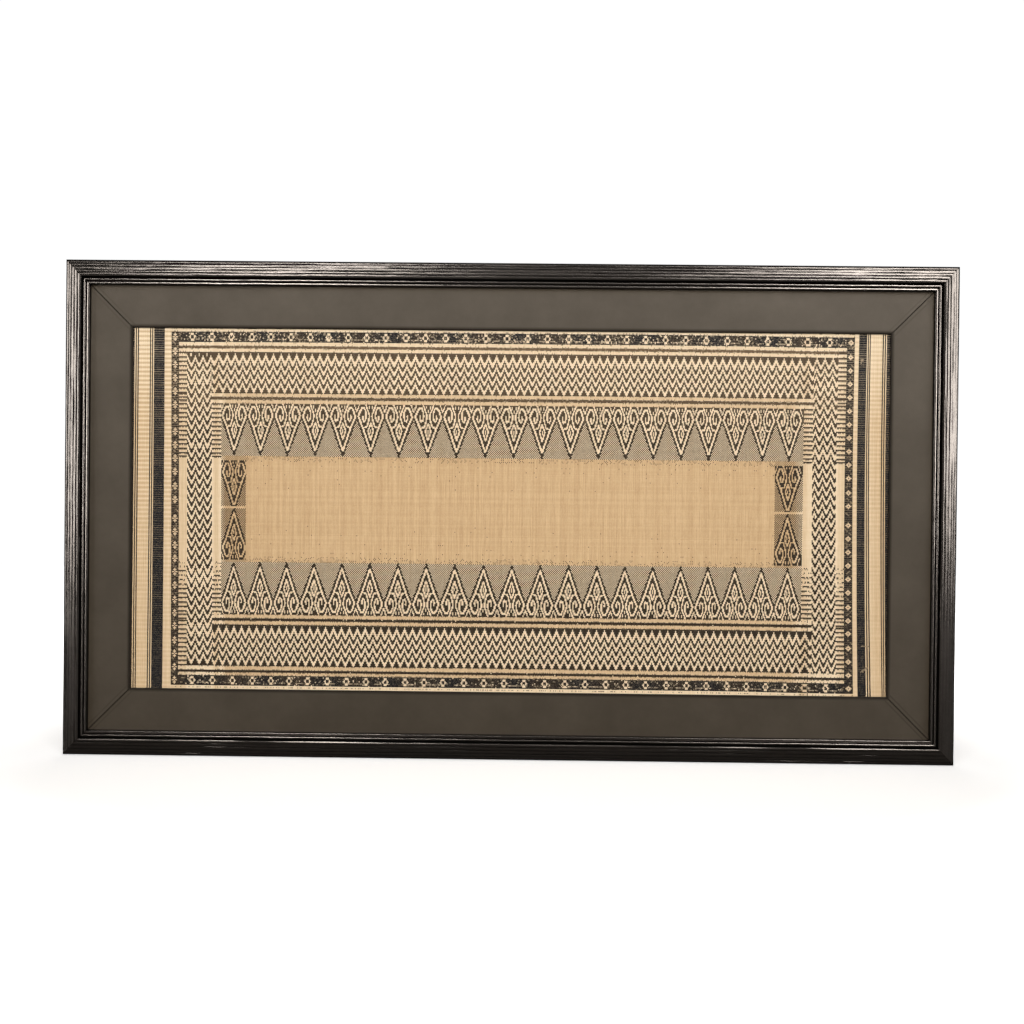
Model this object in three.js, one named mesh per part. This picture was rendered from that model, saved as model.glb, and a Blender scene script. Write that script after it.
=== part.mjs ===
// Framed woven mat: a patterned reed mat laid flat on a board, under a cloth-covered liner,
// in a reeded dark wood frame that hangs on a wall.
// Millimetres, +Z up. The face looks along -Y and the back of the frame lies in the plane y = 0.
// The origin is on the back of the top rail, half way along it, where a hanger is screwed on.

import * as THREE from 'three';

// Driving dimensions of the whole.
const FRAME_WIDTH = 1340;
const FRAME_HEIGHT = 746;
const SIGHT_INSET = 101.5; // from the frame's outer edge to the liner's inner edge
const GAP = 0.3; // between neighbouring pieces

// Frame moulding, measured inwards from its outer edge.
const RABBET_INSET = 29.4; // width of the rail's back, outside the rabbet
const LIP_INSET = 38.4; // width of the rail's face

// Layers in the rabbet, back to front.
const BOARD_BACK = 4.2;
const BOARD_THICKNESS = 5;
const MAT_THICKNESS = 2;
const LINER_LIP = 4.2;

// Liner.
const LINER_EDGE_RADIUS = 1.2;
const MAT_EDGE_CLEARANCE = 3;

// Woven mat.
const RIB_PITCH = 6.72; // four rows of weaving
const RIB_RISE = 0.35;
const RIB_STEPS = 4;
const MAT_UNDER_LINER = 9.5;

const BOARD_FRONT = BOARD_BACK + BOARD_THICKNESS;
const MAT_BACK = BOARD_FRONT + GAP;
const MAT_FRONT = MAT_BACK + MAT_THICKNESS;
const LINER_BACK = BOARD_FRONT + GAP;
const LINER_LIP_BACK = MAT_FRONT + GAP;
const LINER_FRONT = LINER_LIP_BACK + LINER_LIP;
const LINER_INSET = RABBET_INSET + GAP;
const RAIL_LIP_BACK = LINER_FRONT + GAP;
const MAT_INSET = SIGHT_INSET - MAT_UNDER_LINER;
const ORIGIN_BELOW_TOP = RABBET_INSET / 2;

// The face of the moulding, from its outer edge inwards, one row for each flat, reed or bead.
// A row runs from (in, up) to (toIn, toUp), where in is the distance from the outer edge and
// up is the height above the back, and its middle stands proud of that line by rise.
const MOULDING_FACE = [
  { name: 'outer arris', in: 0.0, up: 15.6, toIn: 0.7, toUp: 17.0, rise: 0 },
  { name: 'outer fillet', in: 0.7, up: 17.0, toIn: 2.3, toUp: 18.1, rise: 0 },
  { name: 'reed', in: 2.6, up: 17.8, toIn: 6.5, toUp: 20.7, rise: 1.0 },
  { name: 'reed', in: 6.8, up: 20.8, toIn: 10.5, toUp: 22.8, rise: 1.0 },
  { name: 'reed', in: 10.8, up: 22.9, toIn: 14.5, toUp: 24.4, rise: 1.0 },
  { name: 'reed', in: 14.8, up: 24.5, toIn: 18.4, toUp: 25.5, rise: 1.0 },
  { name: 'reed', in: 18.7, up: 25.5, toIn: 22.4, toUp: 25.9, rise: 1.0 },
  { name: 'deep groove', in: 22.8, up: 18.9, toIn: 25.8, toUp: 18.9, rise: 0 },
  { name: 'middle bead', in: 26.2, up: 23.4, toIn: 29.9, toUp: 23.4, rise: 1.6 },
  { name: 'groove', in: 30.3, up: 21.6, toIn: 31.1, toUp: 21.6, rise: 0 },
  { name: 'inner bead', in: 31.4, up: 22.3, toIn: 36.0, toUp: 22.3, rise: 1.8 },
  { name: 'step', in: 36.3, up: 19.2, toIn: 38.0, toUp: 19.0, rise: 0 },
  { name: 'lip', in: LIP_INSET, up: 18.6, toIn: LIP_INSET, toUp: RAIL_LIP_BACK, rise: 0 },
];
const BEAD_STEPS = 6;

const FINISHES = {
  darkWood: { color: 0x1f1c19, roughness: 0.38, metalness: 0 },
  linerCloth: { color: 0x544c44, roughness: 0.9, metalness: 0 },
  reed: { color: 0xc9a774, roughness: 0.7, metalness: 0 },
  plainBoard: { color: 0x8a6f4e, roughness: 0.85, metalness: 0 },
};

function namedMesh(name, geometry, finish) {
  const mesh = new THREE.Mesh(geometry, new THREE.MeshStandardMaterial(FINISHES[finish]));
  mesh.name = name;
  return mesh;
}

// The points of one row of the moulding's face.
function facePoints(row) {
  const steps = row.rise > 0 ? BEAD_STEPS : 1;
  const points = [];
  for (let i = 0; i <= steps; i += 1) {
    const share = i / steps;
    const across = THREE.MathUtils.lerp(row.in, row.toIn, share);
    const chord = THREE.MathUtils.lerp(row.up, row.toUp, share);
    points.push(new THREE.Vector2(across, chord + row.rise * Math.sin(Math.PI * share)));
  }
  return points;
}

// The frame rail's section: its reeded face, the rabbet and the flat back.
function railSection() {
  return [
    ...MOULDING_FACE.flatMap(facePoints),
    new THREE.Vector2(RABBET_INSET, RAIL_LIP_BACK),
    new THREE.Vector2(RABBET_INSET, 0),
    new THREE.Vector2(0, 0),
  ];
}

// The liner's section, measured inwards from its own outer edge: a flat covered face with
// a rounded inner edge, over a thick outer part and a thinner lip that covers the mat's edge.
function linerSection() {
  const width = SIGHT_INSET - LINER_INSET;
  const lipStart = width - MAT_UNDER_LINER - MAT_EDGE_CLEARANCE;
  const corner = LINER_EDGE_RADIUS * (1 - Math.SQRT1_2);
  return [
    new THREE.Vector2(0, LINER_BACK),
    new THREE.Vector2(0, LINER_FRONT),
    new THREE.Vector2(width - LINER_EDGE_RADIUS, LINER_FRONT),
    new THREE.Vector2(width - corner, LINER_FRONT - corner),
    new THREE.Vector2(width, LINER_FRONT - LINER_EDGE_RADIUS),
    new THREE.Vector2(width, LINER_LIP_BACK),
    new THREE.Vector2(lipStart, LINER_LIP_BACK),
    new THREE.Vector2(lipStart, LINER_BACK),
  ];
}

// One mitred length of a section. It lies along X with its outer edge at z = 0, and its ends
// are cut at 45 degrees, half a gap short of the corner's diagonal.
function mitredLength(section, length) {
  const geometry = new THREE.ExtrudeGeometry(new THREE.Shape(section), { depth: 1, bevelEnabled: false });
  const position = geometry.attributes.position;
  const endCut = (GAP / 2) * Math.SQRT2;
  for (let i = 0; i < position.count; i += 1) {
    const across = position.getX(i);
    const up = position.getY(i);
    const halfLength = length / 2 - across - endCut;
    const along = (1 - 2 * position.getZ(i)) * halfLength;
    position.setXYZ(i, along, -up, -across);
  }
  geometry.computeVertexNormals();
  return geometry;
}

// Four mitred lengths round a rectangle, each named after its side.
function mitredFour(prefix, section, inset, finish) {
  const width = FRAME_WIDTH - 2 * inset;
  const height = FRAME_HEIGHT - 2 * inset;
  const sides = [
    { side: 'top', length: width, x: 0, z: height / 2, turn: 0 },
    { side: 'bottom', length: width, x: 0, z: -height / 2, turn: Math.PI },
    { side: 'left', length: height, x: -width / 2, z: 0, turn: -Math.PI / 2 },
    { side: 'right', length: height, x: width / 2, z: 0, turn: Math.PI / 2 },
  ];
  return sides.map(({ side, length, x, z, turn }) => {
    const mesh = namedMesh(`${prefix}_${side}`, mitredLength(section, length), finish);
    mesh.position.set(x, 0, z);
    mesh.rotation.y = turn;
    return mesh;
  });
}

// The mat: one flat sheet whose face has a low rib for every four rows of weaving.
function wovenMat() {
  const width = FRAME_WIDTH - 2 * MAT_INSET;
  const height = FRAME_HEIGHT - 2 * MAT_INSET;
  const ribs = Math.floor(height / RIB_PITCH);
  const firstRib = -ribs * RIB_PITCH / 2;
  const valley = MAT_FRONT - RIB_RISE;
  const section = [new THREE.Vector2(-height / 2, MAT_BACK), new THREE.Vector2(-height / 2, valley)];
  for (let i = 0; i <= ribs * RIB_STEPS; i += 1) {
    const phase = (i % RIB_STEPS) / RIB_STEPS;
    const rise = RIB_RISE * Math.sin(Math.PI * phase);
    section.push(new THREE.Vector2(firstRib + (i / RIB_STEPS) * RIB_PITCH, valley + rise));
  }
  section.push(new THREE.Vector2(height / 2, valley), new THREE.Vector2(height / 2, MAT_BACK));
  const geometry = new THREE.ExtrudeGeometry(new THREE.Shape(section), { depth: width, bevelEnabled: false });
  const position = geometry.attributes.position;
  for (let i = 0; i < position.count; i += 1) {
    position.setXYZ(i, position.getZ(i) - width / 2, -position.getY(i), position.getX(i));
  }
  geometry.computeVertexNormals();
  return namedMesh('woven_mat', geometry, 'reed');
}

// The plain board behind the mat and the liner, in the frame's rabbet.
function backBoard() {
  const width = FRAME_WIDTH - 2 * LINER_INSET;
  const height = FRAME_HEIGHT - 2 * LINER_INSET;
  const board = namedMesh('back_board', new THREE.BoxGeometry(width, BOARD_THICKNESS, height), 'plainBoard');
  board.position.y = -(BOARD_BACK + BOARD_THICKNESS / 2);
  return board;
}

const framedMat = new THREE.Group();
framedMat.position.z = ORIGIN_BELOW_TOP - FRAME_HEIGHT / 2;
framedMat.add(
  ...mitredFour('frame', railSection(), 0, 'darkWood'),
  ...mitredFour('liner', linerSection(), LINER_INSET, 'linerCloth'),
  wovenMat(),
  backBoard(),
);

export default framedMat;
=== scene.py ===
"""A patterned reed mat under a cloth-covered liner in a reeded dark wood frame."""

import math

import bpy
import numpy as np
from bpy.props import FloatProperty, IntProperty, PointerProperty
from mathutils import Matrix, Vector


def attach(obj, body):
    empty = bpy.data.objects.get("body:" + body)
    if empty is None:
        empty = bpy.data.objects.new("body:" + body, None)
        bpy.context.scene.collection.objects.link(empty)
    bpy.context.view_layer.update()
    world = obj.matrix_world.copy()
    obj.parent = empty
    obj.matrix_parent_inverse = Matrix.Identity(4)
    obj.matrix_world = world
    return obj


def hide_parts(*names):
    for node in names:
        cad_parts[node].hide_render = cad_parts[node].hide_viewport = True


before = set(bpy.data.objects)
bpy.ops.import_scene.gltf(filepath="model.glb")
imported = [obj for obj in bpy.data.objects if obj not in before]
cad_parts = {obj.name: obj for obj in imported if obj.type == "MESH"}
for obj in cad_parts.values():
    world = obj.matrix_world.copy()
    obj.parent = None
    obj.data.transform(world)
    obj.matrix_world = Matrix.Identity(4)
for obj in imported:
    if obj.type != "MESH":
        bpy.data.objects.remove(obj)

bl_info = {
    "name": "Framed woven mat",
    "version": (1, 0, 0),
    "blender": (4, 5, 0),
    "location": "View3D > Sidebar > Woven mat",
    "description": "Builds a framed reed mat with its woven pattern, liner, frame and studio",
    "category": "Object",
}

# Sizes are in millimetres, measured from the frame's outer left edge (across), from its outer
# top edge (down) and from the wall (up). place() turns them into metres in the row frame.
MM = 0.001
FRAME_WIDTH = 1340.0
FRAME_HEIGHT = 746.0
ORIGIN_BELOW_TOP = 14.7
GAP = 0.3
RABBET_INSET = 29.4
LIP_INSET = 38.4
RAIL_LIP_BACK = 16.3
LINER_INSET = 29.7
SIGHT_INSET = 101.5
LINER_BACK = 9.5
LINER_LIP_BACK = 11.8
LINER_FRONT = 16.0
LINER_STEP = 59.3
MAT_INSET = 92.0
MAT_RIGHT = FRAME_WIDTH - MAT_INSET
MAT_BOTTOM = FRAME_HEIGHT - MAT_INSET
MAT_BACK = 9.5
MAT_GROUND = 11.05

# The moulding's section as (in, up) in mm: outer side, line under the reeds, smooth inner part.
OUTER_MOULDING = [(0.0, 0.0), (0.0, 14.6), (0.12, 15.6), (0.35, 16.5), (0.7, 17.0), (1.05, 17.3)]
REEDED_BAND = (1.3, 25.25)
REED_LINE = [(1.3, 17.4), (5.3, 19.7), (10.1, 22.0), (15.3, 23.9), (20.7, 25.2), (25.25, 25.7)]
REED_GROOVES = (1.3, 5.2, 10.0, 15.5, 20.7, 25.25)
REED_STEP = 0.45
RAIL_HEIGHT = 26.7
SCRATCHES = 16
INNER_MOULDING = [
    (25.5, 25.7), (25.7, 25.0), (25.85, 24.0), (25.95, 19.3), (26.2, 18.9), (27.8, 18.9), (28.15, 19.3),
    (28.45, 22.0), (28.75, 23.4), (29.2, 24.2), (29.9, 24.65), (30.7, 24.75), (31.4, 24.6), (31.8, 24.0),
    (32.1, 21.9), (32.5, 21.5), (33.1, 21.6), (33.4, 22.4), (33.9, 23.25), (34.6, 23.8), (35.5, 24.1),
    (36.4, 24.15), (37.1, 23.9), (37.6, 23.1), (38.0, 21.6), (38.15, 19.6),
    (LIP_INSET, 18.5), (LIP_INSET, RAIL_LIP_BACK),
]
# How strongly the grooves of a rail show, where not at full strength: how tall its reeds stand, and how much
# dark wax and painted shade its grooves hold.
GROOVE_STRENGTH = {"right": 0.4, "left": 0.85}
SIDES = ("top", "bottom", "left", "right")
LINER_STATION = 9.0

# Borders of the mat's main parts, in mm: the outer sides of the pair on the left and the right of
# the mat, the rows that the zigzag columns run through, and the bases of the rows of teeth.
LADDERS = (173.5, 1171.2)
ZIGZAGS = (186.0, 1158.4)
INNER_LADDERS = (223.4, 1122.9)
MIDDLE = (237.3, 1109.0)
COLUMN_ROWS = (137.0, 608.7)
TEETH_BASES = (214.4, 531.2)
HALF_WAY_DOWN = 373.0

# The mat is laid out as upright segments, left to right from MAT_INSET: what each one shows,
# where it ends half way up the mat, and how many strips it holds.
SEGMENTS = [
    ("black", 104.6, 8),
    ("late lines", 110.9, 4),
    ("plain", 128.0, 11),
    ("lines", 134.4, 4),
    ("black", 150.8, 11),
    ("plain", 162.0, 8),
    ("diamonds", LADDERS[0], 7),
    ("ladder", ZIGZAGS[0], 8),
    ("zigzag left", INNER_LADDERS[0], 25),
    ("inner ladder", MIDDLE[0], 9),
    ("middle", 673.5, 294),
    ("middle", MIDDLE[1], 300),
    ("inner ladder", INNER_LADDERS[1], 9),
    ("zigzag right", ZIGZAGS[1], 24),
    ("ladder", LADDERS[1], 8),
    ("diamonds", 1183.4, 7),
    ("plain", 1189.8, 4),
    ("black", 1201.7, 8),
    ("late lines", 1208.0, 4),
    ("plain", 1225.4, 12),
    ("lines", 1231.8, 4),
    ("black", MAT_RIGHT, 11),
]

# The bands of weaving, top to bottom from MAT_INSET: what each shows, where it ends, and its rows.
BANDS = [
    ("edge", 106.3, 8),
    ("black diamonds", 122.1, 9),
    ("light", 127.4, 3),
    ("dark mottled", 131.7, 3),
    ("light", COLUMN_ROWS[0], 3),
    ("zigzag band", 199.0, 37),
    ("light", 204.3, 3),
    ("dark mottled", 208.7, 3),
    ("light", TEETH_BASES[0], 3),
    ("teeth down", 293.4, 47),
    ("field", 452.4, 95),
    ("teeth up", TEETH_BASES[1], 47),
    ("light", 537.2, 4),
    ("dark", 540.7, 2),
    ("light", 546.8, 4),
    ("zigzag band", COLUMN_ROWS[1], 37),
    ("light", 615.1, 4),
    ("dark", 618.3, 2),
    ("light", 623.2, 3),
    ("black diamonds", 638.4, 9),
    ("edge", MAT_BOTTOM, 9),
]

# The strips lean a little: how far they move sideways at the mat's top and bottom, by place.
STRIP_LEAN = [
    (92.0, 0.4, -0.5), (110.9, 0.4, -0.5), (128.0, 0.0, -1.0), (150.8, -0.7, -0.3),
    (162.0, -1.7, 1.4), (173.5, -2.0, 0.8), (186.0, -2.4, 1.2), (223.4, -3.4, 2.1),
    (237.3, -1.2, 2.4), (264.0, 1.0, 3.6), (305.0, 0.6, 2.9), (352.0, 0.4, 0.1),
    (447.0, -0.8, 1.6), (495.0, -2.8, -0.2), (542.0, 1.6, -0.1), (637.0, 1.1, -1.4),
    (731.0, 0.3, -1.7), (777.0, 1.6, -0.3), (824.0, -0.6, 0.0), (916.0, -3.5, 1.0),
    (1009.0, -3.3, -1.3), (1055.0, -4.5, -3.0), (1109.0, 0.6, -0.8), (1122.9, 2.0, 4.0),
    (1158.4, 2.6, 4.5), (1171.2, 1.6, 3.4), (1183.4, 0.7, 4.4), (1201.7, 0.6, 5.4),
    (1208.0, -0.3, 6.3), (1225.4, 0.2, 5.2), (1248.0, 0.0, 2.0),
]
# The rows sag a little: how far down they lie near the mat's top and bottom, by place.
ROW_SAG = [
    (92.0, 1.7, 0.4), (200.0, 1.0, 0.4), (300.0, 0.3, 0.3), (640.0, -0.2, 0.0), (900.0, -0.5, 0.0),
    (1020.0, 0.0, 0.1), (1100.0, 0.8, 1.2), (1150.0, 1.2, 1.7), (1248.0, 1.0, 1.7),
]
SAG_REACH = 271.0
# Strips are wider in the middle than at the sides, by up to this many mm over each half.
MIDDLE_BEND = 10.5
MIDDLE_HALF = 436.0
# The whole weave is spread from here, across and down, except right under the liner.
SPREAD_FROM = (650.0, 390.0)
SPREAD = 0.0033
SPREAD_EDGE = 9.0

# How many rows a zigzag line has dropped at each strip from its peak, strips from peak to peak,
# and in mm: from line to line, a line's thickness, a row's height and the middle peak's place.
ZIGZAG_STEPS = (0, 2, 4, 6, 7)
ZIGZAG_STRIPS = 8
ZIGZAG_REPEAT = 13.5
ZIGZAG_LINE = 6.9
ZIGZAG_ROW = 1.69
BAND_PEAK = 673.2
# The columns' zigzags: segment, strip of a peak, mm down to the first line, lines, and rows.
ZIGZAG_COLUMNS = [
    ("zigzag left", 0, 142.5, 34, COLUMN_ROWS),
    ("zigzag right", 2, 137.4, 18, (COLUMN_ROWS[0], 377.0)),
    ("zigzag right", 7, 359.4, 19, (377.0, COLUMN_ROWS[1])),
]
LADDER_ROWS = 4
DYED_ABOVE = 296.0
DYED_BELOW = 450.0

# The small diamonds of the black columns, in mm down.
COLUMN_DIAMONDS = [115.0 + 20.33 * i for i in range(13)] + [387.7 + 20.3 * i for i in range(13)]
BAND_DIAMONDS = 33
# Where some of the bands' diamonds lie: their number, and mm across in the top and bottom band.
BAND_PLACES = [
    (0, 190.0, 194.0), (3, 280.0, 285.0), (6, 368.0, 369.0), (10, 482.0, 486.5),
    (13, 571.5, 574.0), (16, 664.3, 665.0), (18, 726.0, 726.0), (20, 787.0, 787.5),
    (24, 902.0, 909.0), (27, 994.5, 1000.0), (31, 1116.0, 1116.0), (32, 1148.0, 1148.0),
]
# The light dots of one diamond, one letter for each strip and row: in the columns and in the bands.
LEFT_DIAMOND = ["...o...", "..ooo..", "...o...", ".oo.oo.", "...o...", "..ooo..", "...o..."]
RIGHT_DIAMOND = ["...o...", "..ooo..", ".oo.oo.", "..ooo..", "...o..."]
BAND_DIAMOND = ["..ooo..", "..ooo..", ".o...o.", "oo...oo", ".o...o.", "..ooo..", "..ooo.."]

TEETH = 21
TEETH_CENTRE = 673.5
TEETH_REACH = 414.4
TEETH_STRETCH = 0.0105
# The teeth stray sideways from their even places, by these mm at these places.
TEETH_DRIFT = [
    (259.0, -2.1), (344.0, -0.9), (418.0, 0.6), (640.0, 2.5), (788.0, 1.2), (862.0, -0.3), (1088.0, -0.9),
]
HALF_TOOTH = 20.8
TOOTH_HEIGHT = 80.0
# A tooth's light lines: width, and points as mm from its axis and from its base.
TOOTH_LINES = [
    (2.8, [(0, 70.0), (11.7, 35.0), (18.6, 18.3), (15.6, 9.5), (13.2, 4.9), (10.0, 4.9)]),
    (2.3, [(10.0, 4.9), (7.3, 11.5), (6.9, 18.3), (8.2, 23.6), (10.4, 25.4), (12.1, 21.4), (11.8, 17.0)]),
    (2.3, [(8.0, -1.0), (5.4, 6.5), (2.5, 14.0), (1.9, 18.0), (3.4, 25.0), (5.6, 32.6)]),
    (2.1, [(5.8, 33.4), (11.8, 34.2)]),
    (2.4, [(0.2, 28.6), (4.0, 39.4), (0.2, 52.0)]),
    (2.2, [(17.2, 12.4), (18.4, 18.3), (16.6, 24.0)]),
    (1.7, [(16.6, -1.0), (20.9, 11.4)]),
    (1.3, [(2.4, 2.2), (2.4, 5.6)]),
    (1.2, [(0.0, 8.0), (0.0, 10.6)]),
    (0.9, [(0.3, 38.0), (0.3, 43.0)]),
]
# The pairs of teeth that end the plain field: left edge, right edge and axis.
SIDE_TEETH = [(MIDDLE[0], 276.6, 257.6), (1065.2, MIDDLE[1], 1085.7)]
SIDE_TOOTH_HALF = 19.7
UPPER_BASE = 299.5
UPPER_CUT = 368.9
LOWER_TIP = 372.4
LOWER_BASE = 448.8

# Kinds of cell in the weave, and by kind: a strip's width as a share of its place, what is added
# to its length as a share of a row, and how many rows it may pass before it goes under.
LIGHT, FLOAT, BLACK, DOT, FAINT, LINE = range(6)
STRIP_WIDTH = np.array([0.0, 1.02, 0.99, 0.96, 0.62, 1.05])
STRIP_LONGER = np.array([0.0, 0.25, 0.1, 0.18, -0.1, 0.1])
STRIP_ROWS = (1, 60, 2, 1, 1, 2)

# Small faults of this mat: kind of cell, then left, right, top and bottom.
MARKS = [
    (LIGHT, 191.2, 192.8, 138.5, 143.5),
    (LIGHT, 203.5, 205.1, 138.5, 143.5),
    (LIGHT, 216.2, 217.8, 138.5, 143.5),
    (FAINT, 1193.0, 1195.0, 139.0, 146.0),
    (FAINT, 1193.0, 1197.5, 139.0, 142.5),
    (FAINT, 1195.6, 1205.7, 566.2, 568.0),
]

# The pieces that the dyed strips are built in: their span across and down.
PIECES = [
    ("strips_left", (MAT_INSET, MIDDLE[0]), (MAT_INSET, MAT_BOTTOM)),
    ("strips_right", (MIDDLE[1], MAT_RIGHT), (MAT_INSET, MAT_BOTTOM)),
    ("strips_top_border", MIDDLE, (MAT_INSET, TEETH_BASES[0])),
    ("strips_bottom_border", MIDDLE, (TEETH_BASES[1], MAT_BOTTOM)),
    ("strips_top_teeth", MIDDLE, (TEETH_BASES[0], HALF_WAY_DOWN)),
    ("strips_bottom_teeth", MIDDLE, (HALF_WAY_DOWN, TEETH_BASES[1])),
]

WHITE = (1.0, 1.0, 1.0)
WARM = (1.0, 0.965, 0.92)


class MatSettings(bpy.types.PropertyGroup):
    """The mat's weave."""

    row_relief: FloatProperty(
        name="Row relief", description="Height of a row's ridge", default=0.00014, unit="LENGTH"
    )
    strip_rise: FloatProperty(
        name="Strip rise", description="How far a dyed strip stands up", default=0.00046, unit="LENGTH"
    )
    waviness: FloatProperty(
        name="Waviness", description="Slow unevenness of the mat", default=0.00022, unit="LENGTH"
    )
    seed: IntProperty(name="Seed", description="Seed of the strips' differences", default=7)


class FrameSettings(bpy.types.PropertyGroup):
    """The moulding and the liner."""

    reed_rise: FloatProperty(
        name="Reed rise", description="Height of a reed above its grooves", default=0.001, unit="LENGTH"
    )
    wander: FloatProperty(
        name="Wander", description="How far a groove wanders sideways", default=0.0004, unit="LENGTH"
    )
    station: FloatProperty(
        name="Station", description="Length between two sections of a rail", default=0.0052, unit="LENGTH"
    )
    seed: IntProperty(name="Seed", description="Seed of the reeding", default=21)


class StudioSettings(bpy.types.PropertyGroup):
    """Camera, lights and floor."""

    side_power: FloatProperty(name="Side lights", description="Power of each in watts", default=73.0)
    key_power: FloatProperty(name="Key lights", description="Power of the right one in watts", default=85.0)
    fill_power: FloatProperty(name="Fill light", description="Power in watts", default=161.0)
    back_power: FloatProperty(name="Back light", description="Power in watts", default=70.0)
    surround: FloatProperty(name="Surround", description="Brightness of the room", default=0.08)


# Numbers and places.


def place(across, down, up):
    """A point in metres in the row frame, from its millimetres across, down and up."""
    return ((across - FRAME_WIDTH / 2) * MM, -up * MM, (ORIGIN_BELOW_TOP - down) * MM)


def placed(across, down, up):
    """The same for whole arrays, as a list of points."""
    return np.stack(place(across, down, up), axis=-1).reshape(-1, 3)


def ramp(values, start, end):
    """0 up to start, 1 from end on and even in between. end may be the lower one."""
    return np.clip((values - start) / (end - start), 0.0, 1.0)


def from_edge(values, low, high, reach):
    """0 at low and high, rising to 1 at reach inside them."""
    return np.clip(np.minimum(values - low, high - values) / reach, 0.0, 1.0)


def between(values, span):
    """True where values lie inside a (low, high) span."""
    return (values > span[0]) & (values < span[1])


def walker(rng, count, step):
    """A function walk(spacing): a smooth random column of count values, step mm apart, that turns
    about every spacing mm."""
    def walk(spacing):
        knots = int(math.ceil(count * step / spacing)) + 3
        values = rng.uniform(-1, 1, knots)
        where = np.arange(count) * step / spacing
        cell = np.floor(where).astype(int)
        share = where - cell
        share = share * share * (3 - 2 * share)
        return (values[cell] * (1 - share) + values[cell + 1] * share)[:, None]

    return walk


# Meshes.


def new_object(name, data):
    """An object of its data, in the scene."""
    obj = bpy.data.objects.new(name, data)
    bpy.context.scene.collection.objects.link(obj)
    return obj


def make_mesh(name, points, faces, material, smooth=True):
    """A new object at the origin from its points and faces."""
    mesh = bpy.data.meshes.new(name)
    mesh.from_pydata([tuple(p) for p in points], [], faces)
    mesh.validate()
    mesh.materials.append(material)
    mesh.polygons.foreach_set("use_smooth", [smooth] * len(mesh.polygons))
    mesh.update()
    return new_object(name, mesh)


def four_sided(*corners):
    """Faces from four arrays of point numbers, one for each corner."""
    return np.stack([c.ravel() for c in corners], axis=-1).tolist()


def set_uv(mesh, name, pairs):
    """A UV map from one (u, v) for each corner of the mesh."""
    layer = mesh.uv_layers.new(name=name)
    layer.data.foreach_set("uv", np.asarray(pairs, dtype=np.float32).ravel())


def add_values(mesh, name, values, kind="FLOAT", field="value"):
    """A named number or vector on each point of the mesh."""
    attribute = mesh.attributes.new(name, kind, "POINT")
    attribute.data.foreach_set(field, np.asarray(values, dtype=np.float32).ravel())


def corner_points(mesh):
    """The point number at each corner of the mesh."""
    index = np.empty(len(mesh.loops), dtype=np.int64)
    mesh.loops.foreach_get("vertex_index", index)
    return index


def face_on(points, start, size):
    """(u, v) of points as they are seen from the front, spread over a square from start."""
    flat = points[:, [0, 2]]
    low, high = flat.min(axis=0), flat.max(axis=0)
    return start + size * (flat - low) / (high - low)


def finish_piece(obj, node):
    """Hides the CAD part that the piece replaces and attaches the piece to the root body."""
    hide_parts(node)
    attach(obj, "root")


# Nodes.


class Value:
    """A node's output. Each sum, difference, product or quotient of values is one math node."""

    def __init__(self, socket):
        self.socket = socket
        self.tree = socket.id_data

    def __add__(self, other):
        return maths("ADD", self, other)

    def __sub__(self, other):
        return maths("SUBTRACT", self, other)

    def __rsub__(self, other):
        return maths("SUBTRACT", other, self)

    def __mul__(self, other):
        return maths("MULTIPLY", self, other)

    def __truediv__(self, other):
        return maths("DIVIDE", self, other)

    def clamped(self):
        """Keeps the value from 0 to 1."""
        self.socket.node.use_clamp = True
        return self


def feed(slot, value):
    """Gives a node's input its number or colour, or links it to another node's output."""
    if isinstance(value, Value):
        value.tree.links.new(value.socket, slot)
    elif slot.type == "RGBA":
        slot.default_value = (*value, 1.0)
    else:
        slot.default_value = value


def add_node(tree, kind, *inputs, **values):
    """A new node. inputs fill its inputs in order, and values its inputs or settings by name."""
    node = tree.nodes.new(kind)
    for key, value in values.items():
        if key in node.inputs:
            feed(node.inputs[key], value)
        else:
            setattr(node, key, value)
    for slot, value in zip(node.inputs, inputs):
        feed(slot, value)
    return node


def first_output(tree, kind, *inputs, **values):
    """The first output of a new node."""
    return Value(add_node(tree, kind, *inputs, **values).outputs[0])


def maths(operation, *inputs):
    """A math node on values or numbers."""
    tree = next(value.tree for value in inputs if isinstance(value, Value))
    return first_output(tree, "ShaderNodeMath", *inputs, operation=operation)


def split(value):
    """The three parts of a vector."""
    return [Value(s) for s in add_node(value.tree, "ShaderNodeSeparateXYZ", value).outputs]


def join(*parts):
    """A vector of up to three parts."""
    return first_output(parts[0].tree, "ShaderNodeCombineXYZ", *parts)


def noise(vector, scale, detail, roughness):
    """Noise from 0 to 1."""
    return first_output(
        vector.tree, "ShaderNodeTexNoise", Vector=vector, Scale=scale, Detail=detail, Roughness=roughness
    )


def white_noise(value):
    """Another number for each whole number."""
    return first_output(value.tree, "ShaderNodeTexWhiteNoise", noise_dimensions="1D", W=value)


def blend(factor, a, b):
    """Mixes two colours."""
    node = add_node(factor.tree, "ShaderNodeMix", data_type="RGBA")
    for number, value in ((0, factor), (6, a), (7, b)):
        feed(node.inputs[number], value)
    return Value(node.outputs[2])


def uv_map(tree, name):
    """A UV map's coordinates."""
    return first_output(tree, "ShaderNodeUVMap", uv_map=name)


def attribute(tree, name):
    """A number kept on the mesh's points."""
    return Value(add_node(tree, "ShaderNodeAttribute", attribute_name=name).outputs["Fac"])


def spot_on_object(tree):
    """The place on the object, in its own coordinates."""
    return Value(add_node(tree, "ShaderNodeTexCoord").outputs["Object"])


def seen_by_camera(tree):
    """1 for what the camera sees itself, and 0 for light that falls on other things."""
    return Value(add_node(tree, "ShaderNodeLightPath").outputs["Is Camera Ray"])


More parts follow.
